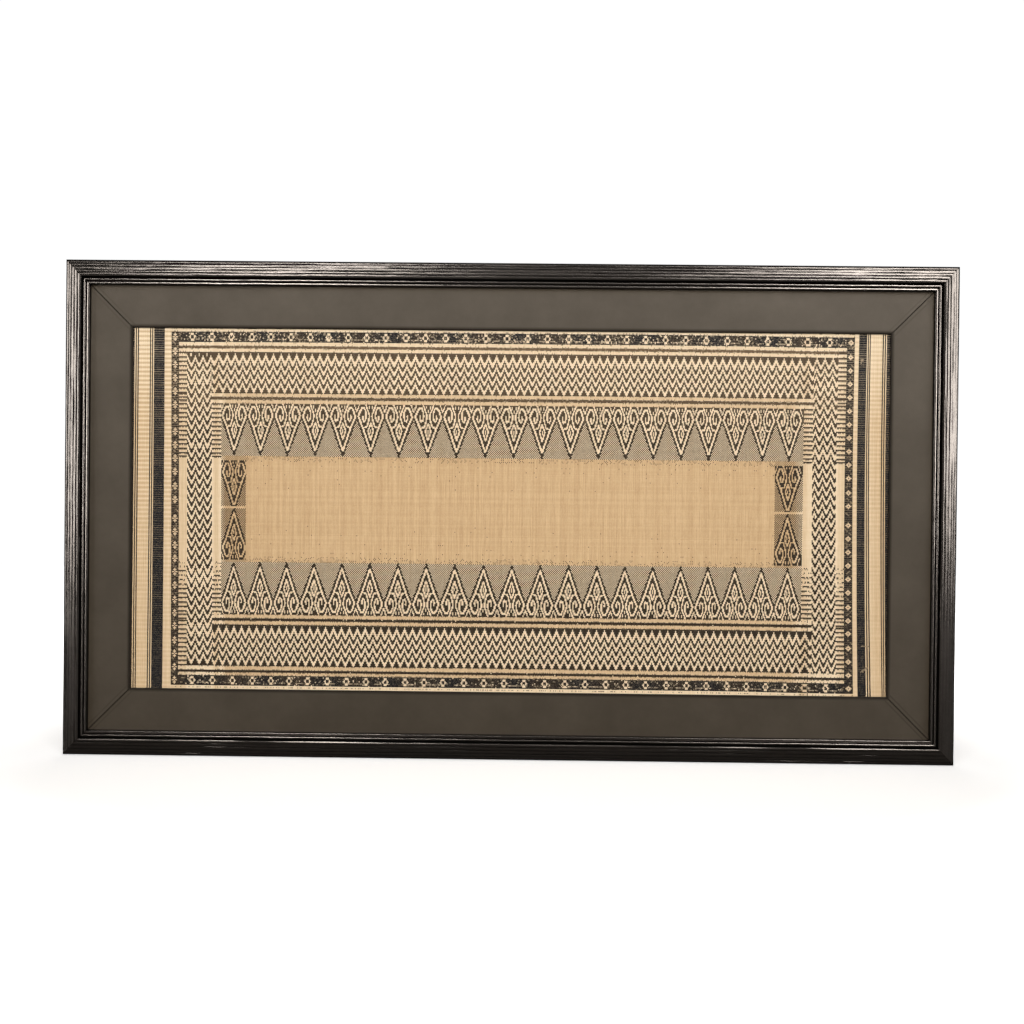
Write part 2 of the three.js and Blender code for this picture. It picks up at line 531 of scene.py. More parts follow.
def streaks_group():
    """Long streaks: noise stretched along the first axis of its coordinates."""
    group = bpy.data.node_groups.new("Streaks", "ShaderNodeTree")
    for name, kind in (("Vector", "Vector"), ("Along", "Float"), ("Across", "Float")):
        group.interface.new_socket(name, in_out="INPUT", socket_type="NodeSocket" + kind)
    group.interface.new_socket("Value", in_out="OUTPUT", socket_type="NodeSocketFloat")
    start = group.nodes.new("NodeGroupInput")
    along, across = Value(start.outputs["Along"]), Value(start.outputs["Across"])
    x, y, z = split(Value(start.outputs["Vector"]))
    add_node(group, "NodeGroupOutput", noise(join(x * along, y * across, z), 1.0, 3.0, 0.6))
    return group


def use_streaks(group, vector, along, across):
    """Streaks laid on coordinates, so fine along and across."""
    return first_output(
        vector.tree, "ShaderNodeGroup", node_tree=group, Vector=vector, Along=along, Across=across
    )


def new_material(name, roughness, specular):
    """A material's node tree and its Principled node."""
    material = bpy.data.materials.new(name)
    material.use_nodes = True
    shader = material.node_tree.nodes["Principled BSDF"]
    feed(shader.inputs["Roughness"], roughness)
    feed(shader.inputs["Specular IOR Level"], specular)
    return material.node_tree, shader


def bump(shader, height, distance, strength):
    """A bump on the shader from a height."""
    node = add_node(height.tree, "ShaderNodeBump", Height=height, Distance=distance, Strength=strength)
    feed(shader.inputs["Normal"], Value(node.outputs[0]))


def wood_material(streaks):
    """Ebonised open-grained wood, waxed to a sheen that its grooves and pores don't take. Its hollows are
    darkened with dark wax and painted shade.
    """
    tree, shader = new_material("ebonised wood", 0.36, 0.9)
    grain = uv_map(tree, "Grain")
    hollow = attribute(tree, "hollow")
    fine = use_streaks(streaks, grain, 60.0, 1300.0)
    broad = use_streaks(streaks, grain, 14.0, 260.0)
    rubbed = use_streaks(streaks, grain, 240.0, 520.0)
    pores = maths("GREATER_THAN", fine, 0.64)
    colour = blend(broad, (0.0045, 0.0038, 0.0033), (0.014, 0.0115, 0.0095))
    colour = blend(pores * 0.6, colour, (0.003, 0.0025, 0.002))
    # Dark wax and painted shade in the grooves, and painted shade on the rails' outer edge and inner side.
    colour = blend(hollow, colour, (0.002, 0.0017, 0.0014))
    sheen = (1.95 - rubbed * 1.25) * (1.0 - hollow * 0.93) * (1.0 - pores * 0.45)
    feed(shader.inputs["Base Color"], colour)
    feed(shader.inputs["Specular IOR Level"], sheen)
    feed(shader.inputs["Specular Tint"], (1.0, 0.91, 0.85))
    feed(shader.inputs["Roughness"], rubbed * 0.13 + 0.155)
    bump(shader, fine + broad * 0.8, 0.0001, 0.7)


def cloth_material():
    """Dark taupe cloth with a faint sheen, drawn tight, with a dark seam at each mitre in painted shade, and
    painted shade along its turned inner edge.
    """
    tree, shader = new_material("liner cloth", 0.46, 0.95)
    spot = spot_on_object(tree)
    cloudy = noise(spot, 14.0, 5.0, 0.65)
    speckle = noise(spot, 520.0, 3.0, 0.7)
    colour = blend(cloudy, (0.0212, 0.0152, 0.0088), (0.0435, 0.0328, 0.0208))
    colour = blend(speckle * 0.45, colour, (0.022, 0.016, 0.01))
    # Painted shade: a dark line at the seam of the mitre, with a softer fold of shade beside it, and along
    # the turned inner edge.
    from_end = attribute(tree, "from_end")
    seam = (1.0 - from_end / 1.2).clamped()
    fold_shade = (1.0 - maths("ABSOLUTE", from_end - 5.2) / 1.6).clamped() * (cloudy - 0.25)
    shade = maths("MAXIMUM", seam * 0.9, fold_shade * 0.9)
    shade = maths("MAXIMUM", shade, attribute(tree, "hollow"))
    feed(shader.inputs["Base Color"], blend(shade, colour, (0.004, 0.0032, 0.0025)))
    feed(shader.inputs["Specular IOR Level"], (1.0 - shade) * 0.95 * (cloudy * 0.5 + 0.75))
    feed(shader.inputs["Specular Tint"], (1.0, 0.925, 0.83))
    bump(shader, speckle, 0.0002, 0.5)


def ground_material():
    """Straw-coloured reed, strip by strip and row by row."""
    tree, shader = new_material("straw reed", 0.6, 0.35)
    strip, row, _ = split(uv_map(tree, "Weave"))
    number = maths("FLOOR", strip)
    across = maths("FRACT", strip) - 0.5
    crown = across * across * -4.0
    slow = noise(join(number * 7.31, row * 0.05), 1.0, 3.0, 0.65)
    speck = noise(join(strip * 0.9, row * 0.55), 1.0, 2.0, 0.7)
    by_row = white_noise(maths("FLOOR", row))
    share = (white_noise(number) * 0.3 + slow + by_row * 0.15 - 0.35).clamped()
    tan = blend(share, (0.43, 0.27, 0.125), (0.70, 0.50, 0.285))
    cream = blend(share, (0.71, 0.55, 0.355), (0.93, 0.80, 0.60))
    # Paler strips in the patterned parts, and painted light towards the top of the mat.
    colour = blend(attribute(tree, "bleached"), tan, cream)
    pale = ((speck - 0.4) * 1.2).clamped()
    colour = blend(pale * 0.5, colour, (0.84, 0.68, 0.47))
    # Painted shade along the edges of each strip.
    seam = maths("POWER", crown * -1.0, 5.0)
    colour = blend(seam * 0.3, colour, (0.24, 0.15, 0.07))
    # The rows show as fine darker lines of painted shade where a strip goes under.
    along = maths("FRACT", row) - 0.5
    under = maths("POWER", maths("ABSOLUTE", along) * 2.0, 4.0) * (speck * 0.8)
    colour = blend(under, colour, (0.25, 0.155, 0.07))
    # In the plain side bands every fourth row lies a little lower and gets painted shade, and the rows
    # between get a painted highlight.
    ridge = attribute(tree, "ridge")
    wave = maths("COSINE", row * (math.pi / 2))
    ridge_shade = maths("POWER", maths("MAXIMUM", wave, 0.0), 1.5) * ridge * 0.6
    colour = blend(ridge_shade, colour, (0.42, 0.275, 0.135))
    # Painted highlight on the raised rows between.
    crest = maths("MAXIMUM", wave * -1.0, 0.0) * ridge * 0.45
    feed(shader.inputs["Base Color"], blend(crest, colour, (0.90, 0.76, 0.55)))
    over = maths("SINE", (number + row) * math.pi)
    bump(shader, crown + over * 0.35, 0.00018, 0.8)


def dyed_material(streaks):
    """Dyed reed strips. black is 1 for blue-black, 0 for dark brown and below 0 for faded brown."""
    tree, shader = new_material("dyed reed", 0.5, 0.22)
    tone = attribute(tree, "tone")
    black = attribute(tree, "black")
    x, _, z = split(spot_on_object(tree))
    fibre = use_streaks(streaks, join(z, x), 160.0, 2600.0)
    brown = blend(tone, (0.008, 0.0045, 0.002), (0.05, 0.03, 0.0145))
    ink = blend(tone, (0.003, 0.0034, 0.0045), (0.012, 0.0125, 0.014))
    colour = blend(black, brown, ink)
    colour = blend(fibre * (0.2 - black * 0.13), colour, (0.11, 0.08, 0.05))
    faded = (black * -1.0).clamped()
    feed(shader.inputs["Base Color"], blend(faded, colour, (0.20, 0.13, 0.07)))
    bump(shader, fibre, 0.00015, 0.5)


def board_material(streaks):
    """Bare plywood."""
    tree, shader = new_material("bare plywood", 0.75, 0.3)
    x, _, z = split(spot_on_object(tree))
    face = join(x, z)
    figure = use_streaks(streaks, face, 2.2, 26.0)
    fine = use_streaks(streaks, face, 14.0, 420.0)
    colour = blend(figure, (0.30, 0.19, 0.10), (0.52, 0.37, 0.22))
    feed(shader.inputs["Base Color"], blend(fine * 0.4, colour, (0.26, 0.16, 0.085)))
    bump(shader, fine, 0.0002, 0.5)


def floor_material():
    """A white floor that catches shadows near the frame and fades into the surround."""
    tree, shader = new_material("white floor", 0.9, 0.0)
    x, y, _ = split(spot_on_object(tree))
    x = x * 0.75
    far = ((maths("SQRT", x * x + y * y) - 0.55) * 1.6).clamped()
    seen = seen_by_camera(tree)
    feed(shader.inputs["Base Color"], blend(seen, (0.1, 0.1, 0.1), (0.86, 0.86, 0.86)))
    feed(shader.inputs["Emission Color"], WHITE)
    feed(shader.inputs["Emission Strength"], (far * 0.9 + 0.5) * seen)


def materials():
    """All materials by name, made once."""
    if "ebonised wood" not in bpy.data.materials:
        streaks = streaks_group()
        wood_material(streaks)
        cloth_material()
        ground_material()
        dyed_material(streaks)
        board_material(streaks)
        floor_material()
    return bpy.data.materials


# Frame rails and liner.


def reeded_heights(rng, walk, across, settings, groove_strength):
    """The reeded band's heights in mm and its hollows from 0 to 1, by station and place across."""
    rise = settings.reed_rise / MM * (0.6 + 0.4 * groove_strength)
    wander = settings.wander / MM
    grooves = [groove + wander * walk(48.0) + 0.4 * wander * walk(13.0) for groove in REED_GROOVES]
    grooves[0][:] = REED_GROOVES[0]
    grooves[-1][:] = REED_GROOVES[-1]
    heights = np.interp(across, *zip(*REED_LINE)) + np.zeros_like(grooves[0])
    hollows = np.zeros_like(heights)
    for left, right in zip(grooves, grooves[1:]):
        share = (across - left) / (right - left)
        inside = (share >= 0) & (share < 1)
        arc = 1 - np.abs(2 * share - 1) ** 2.1
        tall = rise * np.clip(0.95 + 0.35 * walk(75.0), 0.35, 1.15)
        heights += np.where(inside, arc * tall, 0.0)
    for groove in grooves[1:-1]:
        deep = np.clip(0.9 + 0.45 * walk(65.0), 0.25, 1.0)
        deep = deep * np.clip(0.95 + 0.3 * walk(9.0), 0.0, 1.0)
        near = np.exp(-(((across - groove) / 0.75) ** 2))
        heights += np.where(near > 0.02, (1 - deep) * near * 0.8 * rise, 0.0)
        hollows = np.maximum(hollows, near * deep)
    for _ in range(SCRATCHES):
        middle = rng.uniform(2.4, 24.2) + 1.3 * wander * walk(60.0)
        deep = np.clip(walk(24.0) - 0.25, 0.0, 1.0)
        near = np.exp(-(((across - middle) / 0.4) ** 2)) * deep
        heights -= 0.35 * near
        hollows = np.maximum(hollows, 0.8 * near)
    return np.minimum(heights, RAIL_HEIGHT), hollows


def inner_hollows(inwards, up):
    """Hollows of the smooth inner part: dark wax and painted shade between the beads, rubbed bright tops, and
    painted shade on the inner side and on the reeded band's inner edge.
    """
    groove = between(up, (18.0, 22.05)) & (inwards > 25.0)
    top = (up > 23.7) & (inwards > 29.0)
    hollows = np.where(groove, 1.0, np.where(top, -0.7, 0.0))
    inner_side = ramp(inwards, 36.6, 37.8)
    hollows = np.where(inner_side > 0.0, np.maximum(hollows, inner_side), hollows)
    # Painted shade on the reeded band's sharp inner edge.
    hollows[:3] = 0.75
    return hollows


def rail_sections(rng, walk, settings, side):
    """The rail's section at each station: (in, up) in mm, and how deep in a hollow each point lies.

    A hollow of 1 holds dark wax and painted shade, and one below 0 is rubbed bright."""
    groove_strength = GROOVE_STRENGTH.get(side, 1.0)
    band = np.arange(REEDED_BAND[0], REEDED_BAND[1] + 0.01, REED_STEP)
    reeded, reeded_hollows = reeded_heights(rng, walk, band, settings, groove_strength)
    # The outermost reed's outer side gets painted shade and loses its sheen.
    reeded_hollows = np.maximum(groove_strength * reeded_hollows, np.clip((2.6 - band) / 0.9, 0.0, 0.9))
    outer = np.array(OUTER_MOULDING)
    inner = np.array(INNER_MOULDING + [(RABBET_INSET, RAIL_LIP_BACK), (RABBET_INSET, 0.0)])
    # The outer edge's rounding gets painted shade and loses its sheen.
    outer_hollows = np.array([0.0, 0.9, 0.9, 0.9, 0.9, 0.0])
    zero = np.zeros((len(reeded), 1))
    inwards = np.hstack([outer[:, 0] + zero, band + zero, inner[:, 0] + zero])
    upwards = np.hstack([outer[:, 1] + zero, reeded, inner[:, 1] + zero])
    hollows = np.hstack([outer_hollows + zero, reeded_hollows, inner_hollows(*inner.T) + zero])
    # The hand-planed beads waver slightly. The flat back and the lip's underside stay true.
    first = len(outer) + len(band)
    beads = slice(first, first + len(INNER_MOULDING) - 2)
    upwards[:, beads] += 0.12 * walk(38.0)
    inwards[:, beads] += 0.16 * walk(30.0)
    inwards[:, 2:6] += 0.18 * np.abs(walk(25.0))
    return inwards, upwards, hollows


def liner_sections(walk):
    """The liner's section at each station: a padded cloth face with a turned-in inner edge."""
    width = SIGHT_INSET - LINER_INSET
    radius = 1.3
    section = [(0.0, LINER_BACK), (0.0, LINER_FRONT - 0.3), (0.4, LINER_FRONT - 0.05)]
    flat = slice(3, 14)
    section += [(width * i / 12, LINER_FRONT) for i in range(1, 12)]
    turned = slice(14, 20)
    for i in range(6):
        turn = math.pi / 2 * i / 5
        inwards = width - radius + radius * math.sin(turn)
        section.append((inwards, LINER_FRONT - radius + radius * math.cos(turn)))
    section += [(width, LINER_LIP_BACK), (LINER_STEP, LINER_LIP_BACK), (LINER_STEP, LINER_BACK)]
    section = np.array(section)
    # The cloth is drawn slightly in and out along its turned edge.
    drawn = 0.25 * np.abs(walk(60.0))
    padded = 0.06 * walk(90.0)
    stations = len(drawn)
    inwards = np.repeat(section[None, :, 0], stations, axis=0)
    upwards = np.repeat(section[None, :, 1], stations, axis=0)
    inwards[:, turned] -= drawn
    upwards[:, flat] += padded
    # Doubled cloth at the mitres stands up a little.
    ends = np.minimum(np.arange(stations), np.arange(stations)[::-1]) * LINER_STATION
    upwards[:, 3:19] += 0.10 * np.exp(-((ends / 5.0) ** 2))[:, None]
    # Painted shade along the last 1.4 mm of the turned inner edge.
    edge_shade = np.where(section[:, 0] > width - 1.4, 0.8, 0.0)
    return inwards, upwards, np.repeat(edge_shade[None, :], stations, axis=0)


def mitred_bar(name, inset, side, sections, material):
    """One mitred length of a frame, from (in, up) and a hollow for each station and point."""
    inwards, upwards, hollows = sections
    stations, points = inwards.shape
    length = (FRAME_WIDTH if side in ("top", "bottom") else FRAME_HEIGHT) - 2 * inset
    half = length / 2 - inwards - GAP / 2 * math.sqrt(2)
    along = np.linspace(-1, 1, stations)[:, None] * half
    across = inwards + inset
    x, down = {
        "top": (FRAME_WIDTH / 2 + along, across),
        "bottom": (FRAME_WIDTH / 2 - along, FRAME_HEIGHT - across),
        "left": (across, FRAME_HEIGHT / 2 - along),
        "right": (FRAME_WIDTH - across, FRAME_HEIGHT / 2 + along),
    }[side]
    number = np.arange(stations * points).reshape(stations, points)
    beside = np.roll(number, -1, axis=1)
    faces = four_sided(number[:-1], beside[:-1], beside[1:], number[1:])
    sides = 4 * len(faces)
    faces += [number[0, ::-1].tolist(), number[-1].tolist()]
    obj = make_mesh(name, placed(x, down, upwards), faces, material)
    mesh = obj.data
    # Sharp where the section turns hard, so that only the beads look round.
    mesh.set_sharp_from_angle(angle=math.radians(50))
    # Grain runs with the length. The baking map unrolls the section in the same way.
    steps = np.hypot(np.diff(inwards[0], append=inwards[0, 0]), np.diff(upwards[0], append=upwards[0, 0]))
    around = np.concatenate([[0.0], np.cumsum(steps)])
    corner = corner_points(mesh)
    station, point = corner // points, corner % points
    order = np.arange(len(corner))
    cap = order >= sides
    wrapped = ~cap & (order // 4 % points == points - 1) & (point == 0)
    turn = np.where(wrapped, around[-1], around[point])
    length_at = (along[station, point] + length / 2) * MM
    set_uv(mesh, "Grain", np.stack([length_at, turn * MM], axis=-1))
    bake = np.stack([0.02 + 0.96 * length_at / (length * MM), 0.04 + 0.94 * turn / around[-1]], axis=-1)
    small = np.stack([inwards[0, point], upwards[0, point]], axis=-1) * 0.0003 + 0.003
    set_uv(mesh, "OFBake", np.where(cap[:, None], small, bake))
    # How much painted shade darkens each point, with dark wax too on the rails.
    add_values(mesh, "hollow", hollows)
    add_values(mesh, "from_end", (half - np.abs(along)) / math.sqrt(2))
    return obj


def four_lengths(piece, node, inset, station, seed, sections, material):
    """Four mitred lengths round the piece. sections(rng, walk, side) gives one's section every station mm."""
    for number, side in enumerate(SIDES):
        rng = np.random.default_rng(seed + number)
        length = FRAME_WIDTH if side in ("top", "bottom") else FRAME_HEIGHT
        walk = walker(rng, int(length / station), station)
        bar = mitred_bar(f"{piece}_{side}", inset, side, sections(rng, walk, side), material)
        finish_piece(bar, f"{node}_{side}")


class OBJECT_OT_frame_rails(bpy.types.Operator):
    """Build the four reeded rails of the frame"""

    bl_idname = "object.mat_frame_rails"
    bl_label = "Frame rails"

    def execute(self, context):
        settings = context.scene.mat_frame
        four_lengths(
            "rail", "frame", 0.0, settings.station / MM, settings.seed,
            lambda rng, walk, side: rail_sections(rng, walk, settings, side), materials()["ebonised wood"],
        )
        return {"FINISHED"}


class OBJECT_OT_liner(bpy.types.Operator):
    """Build the four cloth-covered lengths of the liner"""

    bl_idname = "object.mat_liner"
    bl_label = "Liner"

    def execute(self, context):
        four_lengths(
            "cloth", "liner", LINER_INSET, LINER_STATION, context.scene.mat_frame.seed + 10,
            lambda rng, walk, side: liner_sections(walk), materials()["liner cloth"],
        )
        return {"FINISHED"}


class OBJECT_OT_board(bpy.types.Operator):
    """Finish the plain board behind the mat"""

    bl_idname = "object.mat_board"
    bl_label = "Back board"

    def execute(self, context):
        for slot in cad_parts["back_board"].material_slots:
            slot.link = "OBJECT"
            slot.material = materials()["bare plywood"]
        return {"FINISHED"}


# The weave.


def blocks(table):
    """(kind, start, end, count) of each segment or band."""
    starts = [MAT_INSET] + [end for _, end, _ in table]
    return [(kind, start, end, count) for (kind, end, count), start in zip(table, starts)]


def bands_of(kind):
    """(start, end) of each band of this kind."""
    return [(start, end) for name, start, end, _ in blocks(BANDS) if name == kind]


def lay_out(table):
    """Edges of all strips or rows in a table, and each one's kind, block number and place in it."""
    edges, kinds, numbers, local = [MAT_INSET], [], [], []
    for number, (kind, start, end, count) in enumerate(blocks(table)):
        for i in range(count):
            edges.append(start + (end - start) * (i + 1) / count)
            kinds.append(kind)
            numbers.append(number)
            local.append(i)
    return np.array(edges), np.array(kinds), np.array(numbers), np.array(local)


def leaned(across, down):
    """Where a place of the even weave really lies, in mm, since strips lean and rows sag."""
    height = (down - HALF_WAY_DOWN) / SAG_REACH
    half = np.clip((across - TEETH_CENTRE) / MIDDLE_HALF, -1.0, 1.0)
    free = from_edge(across, MAT_INSET, MAT_RIGHT, SPREAD_EDGE)
    spread = SPREAD * free * (across - SPREAD_FROM[0]) + MIDDLE_BEND * (half - half ** 3)
    free = from_edge(down, MAT_INSET, MAT_BOTTOM, SPREAD_EDGE)
    down = down + SPREAD * free * (down - SPREAD_FROM[1])
    where, top, bottom = zip(*STRIP_LEAN)
    moved = across + spread + np.interp(across, where, top) * (height * height - height) / 2
    moved = moved + np.interp(across, where, bottom) * (height * height + height) / 2
    where, top, bottom = zip(*ROW_SAG)
    sunk = down + np.interp(across, where, top) * np.clip(-height, 0, 1) ** 2
    sunk = sunk + np.interp(across, where, bottom) * np.clip(height, 0, 1) ** 2
    return moved, sunk


def rise_of_mat(across, down, waviness):
    """Slow unevenness of the mat's face in mm, none at the liner's edge."""
    wave = np.sin(across / 61.0 + 0.7) * np.sin(down / 83.0 + 1.9)
    wave = wave + 0.6 * np.sin(across / 27.0 + down / 140.0)
    wave = wave + 0.4 * np.sin(down / 31.0 + across / 210.0 + 2.0)
    free = np.minimum(from_edge(across, 100.0, 1240.0, 25.0), from_edge(down, 100.0, 646.0, 25.0))
    return waviness * wave * free


def near_line(u, v, points, width):
    """True where (u, v) lies within half a width of a line through the points."""
    hit = np.zeros(np.broadcast(u, v).shape, dtype=bool)
    for (u0, v0), (u1, v1) in zip(points, points[1:]):
        du, dv = u1 - u0, v1 - v0
        share = np.clip(((u - u0) * du + (v - v0) * dv) / (du * du + dv * dv), 0, 1)
        hit |= np.hypot(u - u0 - share * du, v - v0 - share * dv) < width / 2
    return hit


def tooth_cells(u, v, checker):
    """One tooth. u is the distance from its axis and v the distance from its base, in mm."""
    inside = v < TOOTH_HEIGHT - np.maximum(u - 0.2, 0) * 58.0 / 21.0
    light = np.zeros(inside.shape, dtype=bool)
    for width, points in TOOTH_LINES:
        light |= near_line(u, v, points, width)
    return np.where(inside & ~light, FLOAT, np.where(checker & ~inside, DOT, LIGHT))


def teeth_row(across, depth, checker):
    """The cells of a row of teeth."""
    place_in_row = np.linspace(-1, 1, TEETH)
    bend = TEETH_STRETCH * (place_in_row - place_in_row ** 3)
    axes = TEETH_CENTRE + TEETH_REACH * (place_in_row + bend)
    axes = axes + np.interp(axes, *zip(*TEETH_DRIFT))
    nearest = np.abs(across[None, :] - axes[:, None]).argmin(axis=0)
    offset = across - axes[nearest]
    neighbour = np.clip(nearest + np.sign(offset).astype(int), 0, TEETH - 1)
    half_pitch = np.abs(axes[neighbour] - axes[nearest]) / 2
    # A row's end tooth has no neighbour on its outer side.
    half_pitch = np.where(half_pitch < 5.0, 20.0, half_pitch)
    u = np.abs(offset) / half_pitch * HALF_TOOTH
    return tooth_cells(u[None, :], depth[:, None], checker)


def side_teeth(cells, across, down, checker, left, right, axis):
    """Puts one pair of side teeth into the field's cells, on a chequered ground."""
    u = np.abs(across - axis)[None, :] / SIDE_TOOTH_HALF * HALF_TOOTH
    v = down[:, None]
    upper = np.where(v > UPPER_CUT, LIGHT, tooth_cells(u, v - UPPER_BASE, checker))
    cut = (np.abs(v - UPPER_CUT + 1.0) < 1.3) & (u < 4.0)
    upper = np.where(cut, FLOAT, upper)
    boxed = np.where(v < LOWER_TIP, upper, tooth_cells(u, LOWER_BASE - v, checker))
    outside = (v < UPPER_BASE) | (v > LOWER_BASE)
    boxed = np.where(outside, np.where(checker, FAINT, LIGHT), boxed)
    return np.where(between(across, (left, right)), boxed, cells)


def field_cells(x, y, row, checker, chance):
    """The plain field: faint strips near its top and bottom, and the side teeth."""
    nearer = np.minimum(row, len(y) - 1 - row)
    ridge = (nearer % 4 == 0) & (nearer < 36)
    likely = np.where(ridge, 0.3 * np.exp(-nearer / 9.0), 0.0)
    likely = np.where(nearer < 4, np.maximum(likely, 0.3), likely)
    cells = np.where(checker & (chance < likely[:, None]), FAINT, LIGHT)
    for left, right, axis in SIDE_TEETH:
        cells = side_teeth(cells, x, y, checker, left, right, axis)
    return cells


def ladder_cells(down, row, chance):
    """Every fourth row dyed, except half way up. The first dashes below that are short and faint."""
    dyed = (down < DYED_ABOVE) | (down > DYED_BELOW)
    likely = np.where(down > DYED_BELOW, np.clip(0.3 + (down - DYED_BELOW) / 70.0, 0.0, 1.0), 1.0)
    dash = (row % LADDER_ROWS == 0) & dyed
    under = (row % LADDER_ROWS == 1) & dyed
    cells = np.where(dash[:, None] & (chance < likely[:, None]), FLOAT, LIGHT)
    return np.where(under[:, None] & (chance < 0.75 * likely[:, None]), FAINT, cells)


def chart_block(segment, band, x, y, strip, row, checker, rng):
    """The cells of one segment in one band, before zigzags and diamonds are cut into them."""
    shape = (len(y), len(x))
    chance = rng.random(shape)
    plain = np.full(shape, LIGHT)
    row_number = row[:, None]
    beside_columns = between(y[0], COLUMN_ROWS)
    if segment == "plain":
        return plain
    if segment == "black":
        return np.full(shape, BLACK)
    if segment in ("lines", "late lines"):
        first = 1 if segment == "late lines" else 0
        return np.where(strip % 2 == first, LINE, plain)
    if band == "edge":
        return np.where((row_number % 2 == 1) & (chance < 0.3), FAINT, plain)
    if segment == "diamonds" or band == "black diamonds":
        return np.full(shape, BLACK)
    if segment == "ladder" and beside_columns:
        return ladder_cells(y, row, chance)
    if segment == "inner ladder" and between(y[0], TEETH_BASES):
        return ladder_cells(y, row, chance)
    if band == "zigzag band" or (segment.startswith("zigzag") and beside_columns):
        return np.full(shape, FLOAT)
    if band == "light":
        rim = (row_number == 0) | (row_number == len(y) - 1)
        return np.where(rim & (chance < (0.12 if y[0] < HALF_WAY_DOWN else 0.4)), FAINT, plain)
    if band == "dark mottled":
        return np.where((row_number == 1) | (chance > 0.3), FLOAT, FAINT)
    if band == "dark":
        return np.where(chance < 0.01, LIGHT, FLOAT)
    if band == "teeth down":
        return teeth_row(x, y - TEETH_BASES[0], checker)
    if band == "teeth up":
        return teeth_row(x, TEETH_BASES[1] - y, checker)
    return field_cells(x, y, row, checker, chance)


def zigzag_cells(turn, offset, repeats):
    """Light zigzag lines. turn is a strip's place from a peak and offset the mm below the first peak."""
    steps = np.array(ZIGZAG_STEPS)[np.minimum(turn % ZIGZAG_STRIPS, (-turn) % ZIGZAG_STRIPS)]
    below = offset[:, None] - steps[None, :] * ZIGZAG_ROW
    line = np.floor(below / ZIGZAG_REPEAT)
    light = (below - line * ZIGZAG_REPEAT < ZIGZAG_LINE) & (line >= 0) & (line < repeats)
    return np.where(light, LIGHT, FLOAT)


def add_zigzags(cells, x, y, kinds, strip):
    """Cuts the light zigzag lines into the dark columns and bands."""
    for kind, peak, first_down, repeats, span in ZIGZAG_COLUMNS:
        pick = np.flatnonzero(kinds == kind)
        rows = np.flatnonzero(between(y, span))
        # Near the top the lines lie a little higher than even steps would put them.
        lifted = 1.7 * ramp(y[rows], 290.0, 180.0) * ramp(y[rows], 137.0, 167.0)
        cells[np.ix_(rows, pick)] = zigzag_cells(strip[pick] - peak, y[rows] - first_down + lifted, repeats)
    middle = np.flatnonzero((kinds == "middle") | (kinds == "inner ladder"))
    turn = np.arange(len(middle)) - np.abs(x[middle] - BAND_PEAK).argmin()
    for top, bottom in bands_of("zigzag band"):
        rows = np.flatnonzero(between(y, (top, bottom)))
        cells[np.ix_(rows, middle)] = zigzag_cells(turn, y[rows] - top - 2.4, 4)


def diamond_cells(chart, strip, row, cells):
    """Opens one diamond's light dots in cells. strip and row are counted from its middle."""
    for r, line in enumerate(chart):
        for c, letter in enumerate(line):
            if letter == "o":
                hit = (row[:, None] == r - len(chart) // 2) & (strip == c - len(line) // 2)
                cells = np.where(hit, LIGHT, cells)
    return cells


def add_column_diamonds(cells, y, kinds, strip, rng):
    """Opens the small diamonds in the black columns, with faint crosses between them."""
    middles = [int(np.abs(y - down).argmin()) for down in COLUMN_DIAMONDS]
    starts = np.flatnonzero((kinds == "diamonds") & (strip == 0))
    row = np.arange(len(y))
    across = np.arange(7) - 3
    for start, chart in zip(starts, (LEFT_DIAMOND, RIGHT_DIAMOND)):
        part = cells[:, start:start + 7]
        for first, second in zip(middles, middles[1:]):
            cross = np.abs(row - (first + second) // 2)[:, None] == np.abs(across)
            part = np.where(cross & (part == BLACK) & (rng.random(part.shape) < 0.35), FAINT, part)
        for middle in middles:
            part = diamond_cells(chart, across, row - middle, part)
        cells[:, start:start + 7] = part


def add_band_diamonds(cells, x, y, rng):
    """Opens the diamonds in the black bands, which have a pale thread and worn specks."""
    numbers, *places = zip(*BAND_PLACES)
    pick = np.flatnonzero(between(x, LADDERS))
    strips = np.arange(len(pick))
    # The top band is more worn than the bottom one.
    for (top, bottom), places_across, worn in zip(bands_of("black diamonds"), places, (0.10, 0.06)):
        lines = np.flatnonzero(between(y, (top, bottom)))
        row = np.arange(len(lines))
        lies_at = leaned(x[pick], (top + bottom) / 2)[0]
        part = cells[np.ix_(lines, pick)]
        specks = rng.random(part.shape)
        thread = (row == 6)[:, None] & (np.sin(x[pick] / 6.3) > -0.3)
        part = np.where((specks < worn) | (thread & (specks < 0.6)), FAINT, part)
        part = np.where((specks > 1.0 - 0.25 * worn) | (thread & (specks > 0.9)), LIGHT, part)
        for across in np.interp(range(BAND_DIAMONDS), numbers, places_across):
            nearest = np.abs(lies_at - across).argmin()
            part = diamond_cells(BAND_DIAMOND, strips - nearest, row - 4, part)
        cells[np.ix_(lines, pick)] = part


def add_marks(cells, x, y, rng):
    """Small faults of this mat: light ticks, a worn spot, a loose light thread and a seam."""
    def spot(left, right, top, bottom):
        return between(y, (top, bottom))[:, None] & between(x, (left, right))

    for kind, *sides in MARKS:
        cells[spot(*sides)] = kind
    worn = near_line(x[None, :], y[:, None], [(1204.0, 599.0), (1196.0, 606.0)], 3.2)
    cells[worn & (rng.random(cells.shape) < 0.7)] = FAINT
    seam = spot(1116.7, 1118.3, 505.0, 645.0) & (rng.random(cells.shape) < 0.7) & (cells == LIGHT)
    cells[seam] = FAINT


